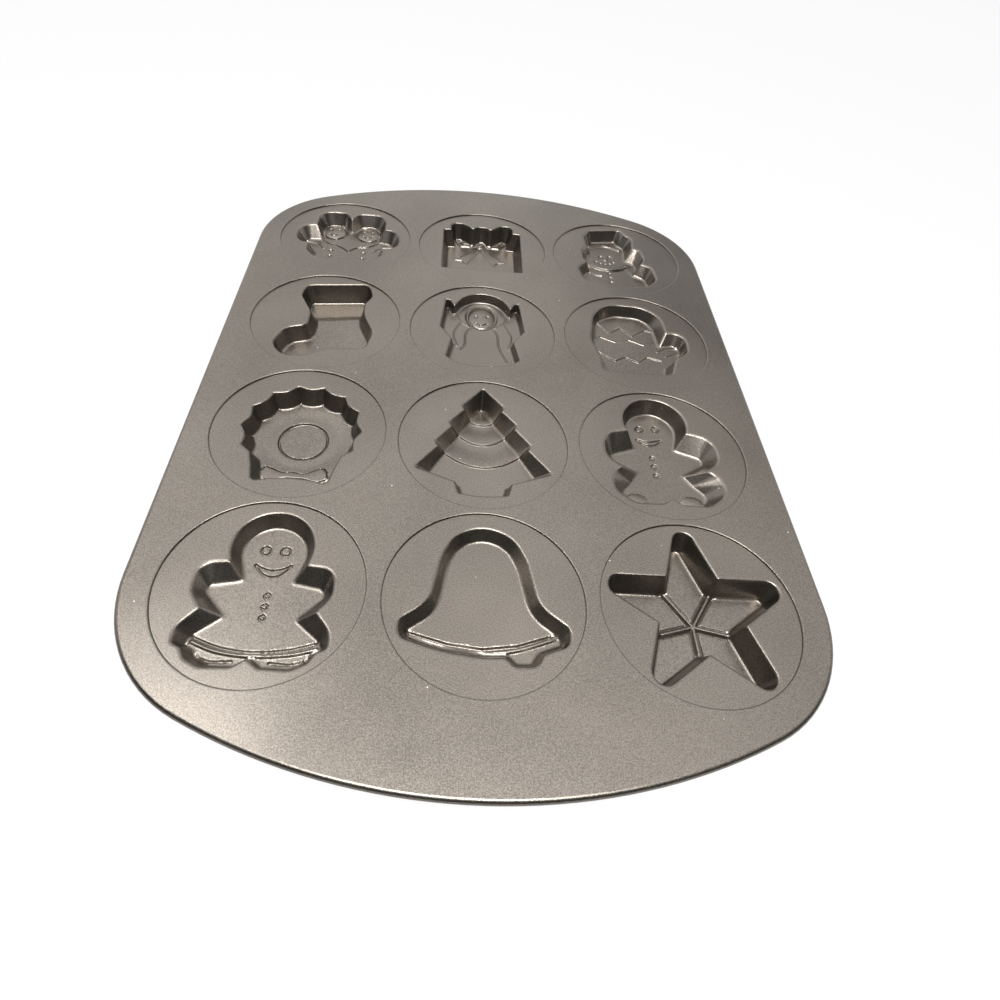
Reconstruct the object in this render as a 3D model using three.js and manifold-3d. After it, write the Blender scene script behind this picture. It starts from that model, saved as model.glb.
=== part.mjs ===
// Cookie baking pan: twelve festive cookie cups pressed in a steel sheet with crowned ends and a wired rim.
// Lengths are in millimetres. X runs across the pan, Y along it towards the far end, Z up.
// The origin is on the table, under the middle of the pan.
import * as THREE from 'three';
import Module from 'manifold-3d';
import { mergeVertices } from 'three/addons/utils/BufferGeometryUtils.js';

const wasm = await Module();
wasm.setup();

// Sheet and gaps
const sheetThickness = 0.6;
const seamGap = 0.3;
const overrun = 2;

// Pads, the round flats that carry one cup each
const padDiameter = 80;
const padStep = 0.5;
const columnCount = 3;
const rowCount = 4;
const gapAcross = 6.4;
const gapAlong = 3.3;

// Lands between the pads and the edge of the pan, and the shape of its ends
const sideLand = 12.7;
const nearLand = 33.7;
const farLand = 32;
const crownRadius = 248;
const cornerRadius = 59;

// Rolled rim and the wire inside it
const rimDiameter = 3.6;
const wireDiameter = 1.8;
const rimCurlDegrees = 270;

// Cups: the deepest floors stand on the table, and the others stop short of it by these shares
const fullDepth = 11.8;
const mouthChamfer = 0.8;
const smallestRadius = 0.25;
const depthShares = {
  star: 1,
  tree: 0.67,
  gift: 1,
  wreath: 0.83,
  stocking: 0.78,
  snowman: 0.68,
  man: 0.72,
  couple: 0.7,
  girl: 0.6,
  bell: 0.5,
  mitten: 0.6,
  angel: 0.5,
};

// Wall slope of the cups that state no floor outline, as the inset of the floor over the depth
const draftShares = {
  star: 0.27,
  gift: 0.25,
  wreath: 0.3,
  stocking: 0.34,
  bell: 0.6,
  angel: 0.2,
};

// Star: its arms, and the ridge that rises along each of its valleys
const starArms = 5;
const starTipShare = 1.205;
const starNotchShare = 0.46;
const starTipRadiusShare = 0.122;
const starShiftShare = 0.02;
const starRidgeWidth = 2.6;
const starRidgeHeight = 1;

// Wreath: the scalloped edge, then the dish and the disc pressed deeper in its middle
const wreathScallops = 14;
const wreathStepsPerScallop = 4;
const wreathPeakShare = 0.7;
const wreathSagShare = 0.06;
const wreathShiftShare = 0.02;
const wreathRiseShare = 0.035;
const wreathCentreShare = -0.05;
const wreathDishShare = 0.5;
const wreathDishDepthShare = 0.91;
const wreathDiscShare = 0.2675;

// Girl: how far to the right of the pad's middle it stands
const girlShiftShare = 0.02;

// Bell: depth of the groove that runs along its lip
const bellLipDepthShare = 0.59;

// Tree: each tier above a pair of notches is pressed deeper, with a bowed lower edge
const treeTierShares = [
  { notchX: 0.455, notchY: -0.083, bow: 0.3, depth: 0.78 },
  { notchX: 0.285, notchY: 0.237, bow: 0.21, depth: 0.89 },
  { notchX: 0.16, notchY: 0.517, bow: 0.1, depth: 1 },
];

// Facets
const padSides = 40;
const arcStepDegrees = 28;
const crownSegments = 10;
const cornerSegments = 6;
const rimSegments = 6;
const wireSides = 6;

// Modelling limits: points on the mirror line, welded points, and how much of an edge a rounding may use
const axisTolerance = 1e-6;
const weldTolerance = 1e-4;
const roundingShare = 0.48;

// Derived sizes
const padRadius = padDiameter / 2;
const padPitchAcross = padDiameter + gapAcross;
const padPitchAlong = padDiameter + gapAlong;
const panWidth = columnCount * padDiameter + (columnCount - 1) * gapAcross + 2 * sideLand;
const padBlockLength = rowCount * padDiameter + (rowCount - 1) * gapAlong;
const panLength = padBlockLength + nearLand + farLand;
const padBlockShift = (nearLand - farLand) / 2;
const padTop = sheetThickness + fullDepth;
const deckTop = padTop + padStep;
const rimRadius = rimDiameter / 2;
const rimInnerRadius = rimRadius - sheetThickness;
const fullTurnDegrees = 360;
const starArmDegrees = fullTurnDegrees / starArms;
const wreathScallopDegrees = fullTurnDegrees / wreathScallops;
const wreathFirstPeakDegrees = -wreathScallopDegrees;

const radians = THREE.MathUtils.degToRad;

// Corners and arcs of a figure, in shares of the pad's radius
function corner(x, y, radius) {
  return [{ x, y, radius }];
}

function arc(x, y, radius, fromDegrees, toDegrees) {
  const steps = Math.ceil((toDegrees - fromDegrees) / arcStepDegrees);
  const points = [];
  for (let i = 0; i <= steps; i++) {
    const angle = radians(THREE.MathUtils.lerp(fromDegrees, toDegrees, i / steps));
    points.push({ x: x + radius * Math.cos(angle), y: y + radius * Math.sin(angle), radius: 0 });
  }
  return points;
}

// The right half of a figure, from its foot to its top, and the same half mirrored
function mirrored(half) {
  const offAxis = half.filter((point) => Math.abs(point.x) > axisTolerance);
  const left = offAxis.map((point) => ({ ...point, x: -point.x })).reverse();
  return [...half, ...left];
}

function movedAcross(points, shift) {
  return points.map((point) => ({ ...point, x: point.x + shift }));
}

function starOutline() {
  const points = [];
  for (let i = 0; i < starArms; i++) {
    const tip = radians(90 + i * starArmDegrees);
    const notch = tip + radians(starArmDegrees / 2);
    const tipY = starTipShare * Math.sin(tip) - starShiftShare;
    const notchY = starNotchShare * Math.sin(notch) - starShiftShare;
    points.push(...corner(starTipShare * Math.cos(tip), tipY, starTipRadiusShare));
    points.push(...corner(starNotchShare * Math.cos(notch), notchY, 0));
  }
  return points;
}

function bellOutline() {
  return [
    ...corner(0.82, -0.46, 0.07),
    ...corner(0.835, -0.285, 0.1),
    ...corner(0.56, -0.06, 0.35),
    ...corner(0.385, 0.82, 0.38),
    ...corner(-0.385, 0.82, 0.38),
    ...corner(-0.555, -0.06, 0.35),
    ...corner(-0.83, -0.27, 0.1),
    ...corner(-0.82, -0.46, 0.07),
    ...corner(0, -0.62, 1.2),
    ...corner(0.22, -0.6, 0.05),
    ...corner(0.29, -0.71, 0.08),
    ...corner(0.49, -0.71, 0.08),
    ...corner(0.55, -0.56, 0.05),
  ];
}

function girlOutline() {
  const half = [
    ...corner(0, -0.715, 0.03),
    ...corner(0.12, -0.8, 0.06),
    ...corner(0.44, -0.8, 0.22),
    ...corner(0.725, -0.6, 0.05),
    ...corner(0.7, -0.44, 0.3),
    ...corner(0.545, -0.235, 0.02),
    ...corner(0.685, -0.05, 0.22),
    ...corner(0.67, 0.25, 0.2),
    ...corner(0.385, 0.27, 0.02),
    ...arc(0, 0.465, 0.41, -18, 90),
  ];
  return movedAcross(mirrored(half), girlShiftShare);
}

function girlFloor() {
  const half = [
    ...corner(0, -0.66, 0.03),
    ...corner(0.11, -0.74, 0.05),
    ...corner(0.4, -0.74, 0.18),
    ...corner(0.64, -0.56, 0.05),
    ...corner(0.59, -0.45, 0.1),
    ...corner(0.335, -0.25, 0.03),
    ...corner(0.545, -0.01, 0.07),
    ...corner(0.525, 0.08, 0.07),
    ...corner(0.24, 0.145, 0.03),
    ...arc(0, 0.465, 0.33, -18, 90),
  ];
  return movedAcross(mirrored(half), girlShiftShare);
}

function manOutline() {
  return mirrored([
    ...corner(0, -0.7, 0.03),
    ...corner(0.11, -0.78, 0.06),
    ...corner(0.43, -0.79, 0.2),
    ...corner(0.67, -0.6, 0.2),
    ...corner(0.64, -0.34, 0.15),
    ...corner(0.51, -0.27, 0.02),
    ...corner(0.695, -0.1, 0.22),
    ...corner(0.68, 0.27, 0.25),
    ...corner(0.37, 0.34, 0.02),
    ...arc(0, 0.5, 0.4, -16, 90),
  ]);
}

function manFloor() {
  return mirrored([
    ...corner(0, -0.64, 0.03),
    ...corner(0.1, -0.71, 0.05),
    ...corner(0.38, -0.71, 0.15),
    ...corner(0.54, -0.53, 0.1),
    ...corner(0.36, -0.34, 0.1),
    ...corner(0.27, -0.2, 0.03),
    ...corner(0.575, -0.02, 0.08),
    ...corner(0.56, 0.08, 0.1),
    ...corner(0.25, 0.2, 0.03),
    ...arc(0, 0.5, 0.325, -16, 90),
  ]);
}

function treeOutline() {
  return mirrored([
    ...corner(0, -0.83, 1),
    ...corner(0.28, -0.8, 0.05),
    ...corner(0.325, -0.632, 0.02),
    ...corner(0.8, -0.458, 0.03),
    ...corner(0.535, -0.12, 0.015),
    ...corner(0.57, -0.03, 0.025),
    ...corner(0.38, 0.2125, 0.015),
    ...corner(0.41, 0.295, 0.025),
    ...corner(0.23, 0.51, 0.015),
    ...corner(0.26, 0.585, 0.025),
    ...corner(0, 0.9, 0.02),
  ]);
}

function treeFloor() {
  return mirrored([
    ...corner(0, -0.76, 1),
    ...corner(0.23, -0.74, 0.04),
    ...corner(0.27, -0.58, 0.03),
    ...corner(0.62, -0.4, 0.03),
    ...corner(0.465, -0.1, 1),
    ...corner(0.435, -0.05, 1),
    ...corner(0.305, 0.21, 1),
    ...corner(0.275, 0.26, 1),
    ...corner(0.17, 0.47, 1),
    ...corner(0.145, 0.51, 1),
    ...corner(0, 0.79, 0.03),
  ]);
}

function wreathOutline() {
  const half = [
    ...corner(0, -0.72, 0.2),
    ...corner(0.2, -0.735, 0.15),
    ...corner(0.41, -0.785, 0.06),
    ...corner(0.46, -0.55, 0.3),
    ...corner(0.51, -0.37, 0.03),
  ];
  const steps = Math.round((90 - wreathFirstPeakDegrees) / wreathScallopDegrees * wreathStepsPerScallop);
  for (let i = 0; i <= steps; i++) {
    const turn = i / wreathStepsPerScallop;
    const angle = radians(wreathFirstPeakDegrees + turn * wreathScallopDegrees);
    const reach = wreathPeakShare - wreathSagShare * Math.abs(Math.sin(Math.PI * turn));
    half.push(...corner(reach * Math.cos(angle), wreathRiseShare + reach * Math.sin(angle), 0));
  }
  return movedAcross(mirrored(half), wreathShiftShare);
}

function stockingOutline() {
  return [
    ...corner(0.585, -0.56, 0.12),
    ...corner(0.66, -0.2, 0.35),
    ...corner(0.495, 0.17, 0.5),
    ...corner(0.485, 0.42, 0.04),
    ...corner(0.585, 0.6, 0.15),
    ...corner(0.5, 0.875, 0.08),
    ...corner(-0.4, 0.755, 0.06),
    ...corner(-0.425, 0.52, 0.12),
    ...corner(-0.235, 0.15, 0.35),
    ...corner(-0.24, -0.14, 0.12),
    ...corner(-0.52, -0.23, 0.25),
    ...corner(-0.65, -0.55, 0.24),
    ...corner(-0.46, -0.79, 0.22),
    ...corner(-0.14, -0.76, 0.25),
    ...corner(0.06, -0.6, 0.35),
  ];
}

function angelOutline() {
  return mirrored([
    ...corner(0, -0.755, 0.8),
    ...corner(0.36, -0.7, 0.06),
    ...corner(0.495, -0.58, 0.05),
    ...corner(0.425, -0.2, 0.02),
    ...corner(0.59, 0.04, 0.07),
    ...corner(0.53, 0.665, 0.02),
    ...corner(0.47, 0.65, 0.02),
    ...corner(0.405, 0.53, 0.02),
    ...arc(0, 0.445, 0.4, 28, 90),
  ]);
}

function mittenOutline() {
  return [
    ...corner(0.41, -0.66, 0.08),
    ...corner(0.51, -0.37, 0.1),
    ...corner(0.745, -0.14, 0.17),
    ...corner(0.76, 0.24, 0.2),
    ...corner(0.485, 0.245, 0.03),
    ...corner(0.47, 0.8, 0.4),
    ...corner(-0.49, 0.835, 0.45),
    ...corner(-0.63, 0, 0.35),
    ...corner(-0.525, -0.38, 0.12),
    ...corner(-0.53, -0.665, 0.07),
  ];
}

function mittenFloor() {
  return [
    ...corner(0.35, -0.6, 0.06),
    ...corner(0.43, -0.36, 0.06),
    ...corner(0.67, -0.13, 0.1),
    ...corner(0.7, 0.11, 0.08),
    ...corner(0.37, 0.02, 0.03),
    ...corner(0.36, 0.73, 0.33),
    ...corner(-0.44, 0.77, 0.38),
    ...corner(-0.56, 0, 0.3),
    ...corner(-0.46, -0.36, 0.1),
    ...corner(-0.465, -0.6, 0.05),
  ];
}

function coupleOutline() {
  return [
    ...corner(0.44, -0.585, 0.2),
    ...corner(0.62, -0.38, 0.14),
    ...corner(0.58, -0.225, 0.03),
    ...corner(0.84, -0.2, 0.18),
    ...corner(0.83, 0.28, 0.2),
    ...corner(0.585, 0.34, 0.03),
    ...corner(0.575, 0.76, 0.3),
    ...corner(0.12, 0.75, 0.18),
    ...corner(0.02, 0.57, 0.02),
    ...corner(-0.07, 0.75, 0.17),
    ...corner(-0.5, 0.75, 0.3),
    ...corner(-0.51, 0.34, 0.03),
    ...corner(-0.77, 0.3, 0.2),
    ...corner(-0.775, -0.17, 0.18),
    ...corner(-0.56, -0.2, 0.03),
    ...corner(-0.57, -0.4, 0.14),
    ...corner(-0.41, -0.59, 0.2),
  ];
}

function coupleFloor() {
  return [
    ...corner(0.4, -0.51, 0.15),
    ...corner(0.53, -0.36, 0.1),
    ...corner(0.48, -0.24, 0.03),
    ...corner(0.72, -0.14, 0.08),
    ...corner(0.71, 0.16, 0.08),
    ...corner(0.46, 0.13, 0.03),
    ...corner(0.475, 0.65, 0.24),
    ...corner(0.15, 0.65, 0.14),
    ...corner(0.02, 0.45, 0.02),
    ...corner(-0.1, 0.65, 0.14),
    ...corner(-0.42, 0.65, 0.24),
    ...corner(-0.41, 0.12, 0.03),
    ...corner(-0.66, 0.16, 0.08),
    ...corner(-0.665, -0.1, 0.08),
    ...corner(-0.46, -0.2, 0.03),
    ...corner(-0.48, -0.36, 0.1),
    ...corner(-0.37, -0.51, 0.15),
  ];
}

function giftOutline() {
  return mirrored([
    ...corner(0.625, -0.6, 0.03),
    ...corner(0.625, 0.5, 0.03),
    ...corner(0.505, 0.51, 0.02),
    ...corner(0.51, 0.715, 0.08),
    ...corner(0.31, 0.72, 0.1),
    ...corner(0.15, 0.57, 0.04),
    ...corner(0.06, 0.64, 0.05),
  ]);
}

function snowmanOutline() {
  return [
    ...corner(0.4, -0.73, 0.2),
    ...corner(0.595, -0.52, 0.15),
    ...corner(0.56, -0.14, 0.15),
    ...corner(0.4, -0.1, 0.02),
    ...corner(0.485, 0.05, 0.15),
    ...corner(0.44, 0.32, 0.1),
    ...corner(0.325, 0.34, 0.03),
    ...corner(0.365, 0.66, 0.07),
    ...corner(0.25, 0.77, 0.04),
    ...corner(0.195, 0.905, 0.07),
    ...corner(-0.36, 0.8, 0.07),
    ...corner(-0.395, 0.7, 0.04),
    ...corner(-0.455, 0.64, 0.04),
    ...corner(-0.43, 0.36, 0.03),
    ...corner(-0.52, 0.2, 0.15),
    ...corner(-0.525, -0.02, 0.1),
    ...corner(-0.48, -0.14, 0.02),
    ...corner(-0.635, -0.3, 0.18),
    ...corner(-0.585, -0.63, 0.2),
    ...corner(-0.15, -0.8, 0.35),
  ];
}

function snowmanFloor() {
  return [
    ...corner(0.34, -0.64, 0.15),
    ...corner(0.5, -0.46, 0.1),
    ...corner(0.46, -0.33, 0.1),
    ...corner(0.27, -0.2, 0.03),
    ...corner(0.35, 0, 0.1),
    ...corner(0.34, 0.09, 0.05),
    ...corner(0.18, 0.19, 0.03),
    ...corner(0.26, 0.6, 0.05),
    ...corner(0.17, 0.69, 0.03),
    ...corner(0.12, 0.81, 0.05),
    ...corner(-0.28, 0.75, 0.05),
    ...corner(-0.31, 0.64, 0.03),
    ...corner(-0.37, 0.59, 0.03),
    ...corner(-0.345, 0.37, 0.03),
    ...corner(-0.43, 0.19, 0.1),
    ...corner(-0.435, 0, 0.08),
    ...corner(-0.4, -0.14, 0.02),
    ...corner(-0.55, -0.3, 0.13),
    ...corner(-0.5, -0.57, 0.15),
    ...corner(-0.13, -0.71, 0.3),
  ];
}

// Outlines of the stretches that are pressed deeper
function treeTier({ notchX, notchY, bow }) {
  return [
    ...corner(-1, notchY, 0),
    ...corner(-notchX, notchY, 0),
    ...corner(0, notchY - bow, 1),
    ...corner(notchX, notchY, 0),
    ...corner(1, notchY, 0),
    ...corner(1, 1.1, 0),
    ...corner(-1, 1.1, 0),
  ];
}

function stockingCuff() {
  return [
    ...corner(-1, 0.15, 0),
    ...corner(1, 0.51, 0),
    ...corner(1, 1.1, 0),
    ...corner(-1, 1.1, 0),
  ];
}

function bellLip() {
  return [
    ...corner(-1.1, -1.1, 0),
    ...corner(1.1, -1.1, 0),
    ...corner(1.1, -0.26, 0),
    ...corner(0.63, -0.31, 0),
    ...corner(0, -0.475, 0.9),
    ...corner(-0.7, -0.325, 0),
    ...corner(-1.1, -0.26, 0),
  ];
}

function roundRegion(y, radius) {
  return arc(0, y, radius, 0, fullTurnDegrees).slice(1);
}

// A figure's outline moved inwards by a true offset, with its corners rounded
function offsetCorners(corners, inset) {
  return corners.map((point, i) => {
    const before = corners[(i + corners.length - 1) % corners.length];
    const after = corners[(i + 1) % corners.length];
    const into = new THREE.Vector2(point.x - before.x, point.y - before.y).normalize();
    const out = new THREE.Vector2(after.x - point.x, after.y - point.y).normalize();
    const normals = new THREE.Vector2(-into.y - out.y, into.x + out.x);
    const mitre = inset / (1 + into.dot(out));
    const turn = Math.atan2(into.cross(out), into.dot(out));
    const radius = point.radius - Math.sign(turn) * inset;
    return {
      x: point.x + normals.x * mitre,
      y: point.y + normals.y * mitre,
      rounded: point.radius > 0,
      radius: Math.max(radius, smallestRadius),
      into,
      out,
      turn,
    };
  });
}

function roundingSteps(turn) {
  return Math.max(1, Math.ceil(Math.abs(turn) / radians(arcStepDegrees)));
}

function roundedCorner(point, reach, steps) {
  const half = Math.abs(point.turn) / 2;
  const tangent = Math.min(point.radius * Math.tan(half), reach);
  const radius = tangent / Math.tan(half);
  const side = Math.sign(point.turn);
  const start = new THREE.Vector2(point.x, point.y).addScaledVector(point.into, -tangent);
  const centre = new THREE.Vector2(-point.into.y, point.into.x).multiplyScalar(side * radius).add(start);
  const points = [];
  for (let i = 0; i <= steps; i++) {
    points.push(start.clone().rotateAround(centre, point.turn * i / steps));
  }
  return points;
}

// The floor of a cup is rounded in as many steps as its mouth, so that their points pair up
function figureLoop(shares, inset, mouthShares = shares) {
  const inLengths = (corners) => corners.map((point) => ({
    x: point.x * padRadius,
    y: point.y * padRadius,
    radius: point.radius * padRadius,
  }));
  const moved = offsetCorners(inLengths(shares), inset);
  const mouthCorners = offsetCorners(inLengths(mouthShares), 0);
  return moved.flatMap((point, i) => {
    if (!point.rounded) {
      return [new THREE.Vector2(point.x, point.y)];
    }
    const before = moved[(i + moved.length - 1) % moved.length];
    const after = moved[(i + 1) % moved.length];
    const toBefore = Math.hypot(point.x - before.x, point.y - before.y);
    const toAfter = Math.hypot(point.x - after.x, point.y - after.y);
    const nearest = Math.min(toBefore, toAfter);
    return roundedCorner(point, nearest * roundingShare, roundingSteps(mouthCorners[i].turn));
  });
}

// A closed solid through loops of equal count, listed from the top one down
function loft(levels) {
  const count = levels[0].loop.length;
  const positions = levels.flatMap(({ loop, z }) => loop.flatMap((point) => [point.x, point.y, z]));
  const index = [];
  for (let level = 0; level + 1 < levels.length; level++) {
    for (let i = 0; i < count; i++) {
      const next = (i + 1) % count;
      const upper = level * count;
      const lower = upper + count;
      index.push(upper + i, lower + i, lower + next, upper + i, lower + next, upper + next);
    }
  }
  const last = (levels.length - 1) * count;
  index.push(...capFaces(levels[0].loop, 0, true));
  index.push(...capFaces(levels[levels.length - 1].loop, last, false));
  return indexedGeometry(positions, index);
}

function capFaces(loop, first, facesUp) {
  return THREE.ShapeUtils.triangulateShape(loop, []).flatMap(([a, b, c]) => {
    const area = THREE.ShapeUtils.area([loop[a], loop[b], loop[c]]);
    return (area > 0) === facesUp ? [first + a, first + b, first + c] : [first + a, first + c, first + b];
  });
}

function indexedGeometry(positions, index) {
  const geometry = new THREE.BufferGeometry();
  geometry.setAttribute('position', new THREE.Float32BufferAttribute(positions, 3));
  geometry.setIndex(index);
  return geometry;
}

function toSolid(geometry) {
  const bare = new THREE.BufferGeometry();
  bare.setAttribute('position', geometry.getAttribute('position'));
  bare.setIndex(geometry.getIndex());
  const merged = mergeVertices(bare, weldTolerance);
  const mesh = new wasm.Mesh({
    numProp: 3,
    vertProperties: new Float32Array(merged.getAttribute('position').array),
    triVerts: new Uint32Array(merged.getIndex().array),
  });
  return new wasm.Manifold(mesh);
}

function toGeometry(solid) {
  const { vertProperties, triVerts } = solid.getMesh();
  return indexedGeometry(Array.from(vertProperties), Array.from(triVerts));
}

// A cup's floor outline: its own, or else its mouth's moved inwards by the slope of the wall
function floorLoop(figure, inset) {
  if (figure.floor) {
    return figureLoop(figure.floor, inset, figure.mouth);
  }
  return figureLoop(figure.mouth, figure.slopeInset + inset);
}

// One cup: a pad with a figure's cavity pressed down from it, its wall a sheet thick all round
function cavitySolid(figure, depth) {
  return toSolid(loft([
    { loop: figureLoop(figure.mouth, -mouthChamfer / 2), z: overrun },
    { loop: figureLoop(figure.mouth, -mouthChamfer / 2), z: 0 },
    { loop: figureLoop(figure.mouth, mouthChamfer / 2), z: -mouthChamfer },
    { loop: floorLoop(figure, 0), z: -depth },
  ]));
}

function shellSolid(figure, depth) {
  const underside = -depth - sheetThickness;
  return toSolid(loft([
    { loop: figureLoop(figure.mouth, -sheetThickness - mouthChamfer / 2), z: -sheetThickness / 2 },
    { loop: floorLoop(figure, -sheetThickness), z: underside },
  ]));
}

function padSolid() {
  const radius = padRadius - seamGap;
  const disc = new THREE.CylinderGeometry(radius, radius, sheetThickness, padSides);
  disc.rotateX(Math.PI / 2);
  disc.translate(0, 0, -sheetThickness / 2);
  return toSolid(disc);
}

function pressedCup(name, mouth, floor = null) {
  const depth = fullDepth * depthShares[name];
  const figure = { mouth, floor, slopeInset: floor ? 0 : depth * draftShares[name] };
  return {
    depth,
    figure,
    outside: padSolid().add(shellSolid(figure, depth)),
    inside: cavitySolid(figure, depth),
  };
}

// One stretch of a cup's floor is pressed deeper, down from the same floor outline
function pressRegion(cup, region, depthShare) {
  const depth = fullDepth * depthShare;
  const grown = (margin) => toSolid(loft([
    { loop: figureLoop(region, -margin), z: overrun },
    { loop: figureLoop(region, -margin), z: -depth - overrun },
  ]));
  cup.outside = cup.outside.add(shellSolid(cup.figure, depth).intersect(grown(sheetThickness)));
  cup.inside = cup.inside.add(cavitySolid(cup.figure, depth).intersect(grown(0)));
}

function finishedCup(cup) {
  return toGeometry(cup.outside.subtract(cup.inside));
}

function starCup() {
  const cup = pressedCup('star', starOutline());
  const reach = starNotchShare * padRadius - cup.figure.slopeInset;
  for (let i = 0; i < starArms; i++) {
    const turn = radians(90 + (i + 1 / 2) * starArmDegrees);
    const ridge = (width, bottom, height) => {
      const bar = new THREE.BoxGeometry(reach, width, height);
      bar.translate(reach / 2, 0, bottom + height / 2);
      bar.rotateZ(turn);
      bar.translate(0, -starShiftShare * padRadius, 0);
      return toSolid(bar);
    };
    const floor = -cup.depth;
    const groove = starRidgeWidth - 2 * sheetThickness;
    cup.inside = cup.inside.subtract(ridge(starRidgeWidth, floor - overrun, overrun + starRidgeHeight));
    cup.outside = cup.outside.subtract(
      ridge(groove, floor - sheetThickness - overrun, overrun + starRidgeHeight),
    );
  }
  return finishedCup(cup);
}

function treeCup() {
  const cup = pressedCup('tree', treeOutline(), treeFloor());
  for (const tier of treeTierShares) {
    pressRegion(cup, treeTier(tier), tier.depth);
  }
  return finishedCup(cup);
}

function wreathCup() {
  const cup = pressedCup('wreath', wreathOutline());
  pressRegion(cup, roundRegion(wreathCentreShare, wreathDishShare), wreathDishDepthShare);
  pressRegion(cup, roundRegion(wreathCentreShare, wreathDiscShare), 1);
  return finishedCup(cup);
}

function stockingCup() {
  const cup = pressedCup('stocking', stockingOutline());
  pressRegion(cup, stockingCuff(), 1);
  return finishedCup(cup);
}

function bellCup() {
  const cup = pressedCup('bell', bellOutline());
  pressRegion(cup, bellLip(), bellLipDepthShare);
  return finishedCup(cup);
}

function simpleCup(name, mouth, floor) {
  return finishedCup(pressedCup(name, mouth, floor));
}

// Deck outline: straight sides, round corners and crowned ends, moved inwards by an inset
function panOutline(inset) {
  const points = [];
  const cornerX = panWidth / 2 - cornerRadius;
  const crownY = panLength / 2 - crownRadius;
  const between = crownRadius - cornerRadius;
  const cornerY = crownY + Math.sqrt(between ** 2 - cornerX ** 2);
  const cornerTurn = Math.atan2(cornerY - crownY, cornerX);
  const addArc = (x, y, radius, from, to, steps) => {
    for (let i = 0; i < steps; i++) {
      const angle = from + (to - from) * i / steps;
      points.push(new THREE.Vector2(x + radius * Math.cos(angle), y + radius * Math.sin(angle)));
    }
  };
  for (const half of [0, Math.PI]) {
    const side = half === 0 ? 1 : -1;
    const small = cornerRadius - inset;
    const large = crownRadius - inset;
    const last = half + Math.PI;
    addArc(side * cornerX, side * cornerY, small, half, half + cornerTurn, cornerSegments);
    addArc(0, side * crownY, large, half + cornerTurn, last - cornerTurn, crownSegments);
    addArc(-side * cornerX, side * cornerY, small, last - cornerTurn, last, cornerSegments);
    points.push(new THREE.Vector2(-side * (cornerX + small), side * cornerY));
  }
  return points;
}

function padCentre(column, row) {
  return new THREE.Vector2(
    (column - (columnCount - 1) / 2) * padPitchAcross,
    ((rowCount - 1) / 2 - row) * padPitchAlong + padBlockShift,
  );
}

function deckGeometry() {
  const shape = new THREE.Shape(panOutline(rimRadius + seamGap));
  for (let row = 0; row < rowCount; row++) {
    for (let column = 0; column < columnCount; column++) {
      const centre = padCentre(column, row);
      const hole = new THREE.Path();
      hole.absarc(centre.x, centre.y, padRadius, 0, 2 * Math.PI, true);
      shape.holes.push(new THREE.Path(hole.getPoints(padSides / 2)));
    }
  }
  const plate = new THREE.ExtrudeGeometry(shape, { depth: sheetThickness, bevelEnabled: false });
  plate.translate(0, 0, deckTop - sheetThickness);
  return plate;
}

// A closed ring round the pan, from section points listed clockwise: out from the rim's centre, and up
function ringGeometry(section) {
  const loops = section.map(({ out }) => panOutline(rimRadius - out));
  const count = loops[0].length;
  const positions = loops.flatMap((loop, k) => {
    const z = deckTop - rimRadius + section[k].up;
    return loop.flatMap((point) => [point.x, point.y, z]);
  });
  const index = [];
  for (let k = 0; k < section.length; k++) {
    const near = k * count;
    const far = ((k + 1) % section.length) * count;
    for (let i = 0; i < count; i++) {
      const next = (i + 1) % count;
      index.push(near + i, far + i, far + next, near + i, far + next, near + next);
    }
  }
  return indexedGeometry(positions, index);
}

function arcSection(radius, fromDegrees, sweepDegrees, steps) {
  const points = [];
  for (let i = 0; i <= steps; i++) {
    const angle = radians(fromDegrees + sweepDegrees * i / steps);
    points.push({ out: radius * Math.cos(angle), up: radius * Math.sin(angle) });
  }
  return points;
}

function rolledRimGeometry() {
  return ringGeometry([
    ...arcSection(rimRadius, 90, -rimCurlDegrees, rimSegments),
    ...arcSection(rimInnerRadius, 90 - rimCurlDegrees, rimCurlDegrees, rimSegments),
  ]);
}

function rimWireGeometry() {
  return ringGeometry(arcSection(wireDiameter / 2, 90, -fullTurnDegrees, wireSides).slice(0, wireSides));
}

// Finishes
function coatedSteel() {
  return new THREE.MeshStandardMaterial({ color: 0x6f6a66, roughness: 0.42, metalness: 0.6 });
}

function bareSteel() {
  return new THREE.MeshStandardMaterial({ color: 0xa9abac, roughness: 0.35, metalness: 0.9 });
}

const pan = new THREE.Group();

function addPiece(name, geometry, material, place) {
  const flat = geometry.index ? geometry.toNonIndexed() : geometry;
  flat.computeVertexNormals();
  const mesh = new THREE.Mesh(flat, material);
  mesh.name = name;
  mesh.position.copy(place);
  pan.add(mesh);
}

function addCup(name, geometry, column, row) {
  const centre = padCentre(column, row);
  addPiece(name, geometry, coatedSteel(), new THREE.Vector3(centre.x, centre.y, padTop));
}

const middle = new THREE.Vector3();
addPiece('deck', deckGeometry(), coatedSteel(), middle);
addPiece('rolled_rim', rolledRimGeometry(), coatedSteel(), middle);
addPiece('rim_wire', rimWireGeometry(), bareSteel(), middle);

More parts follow.
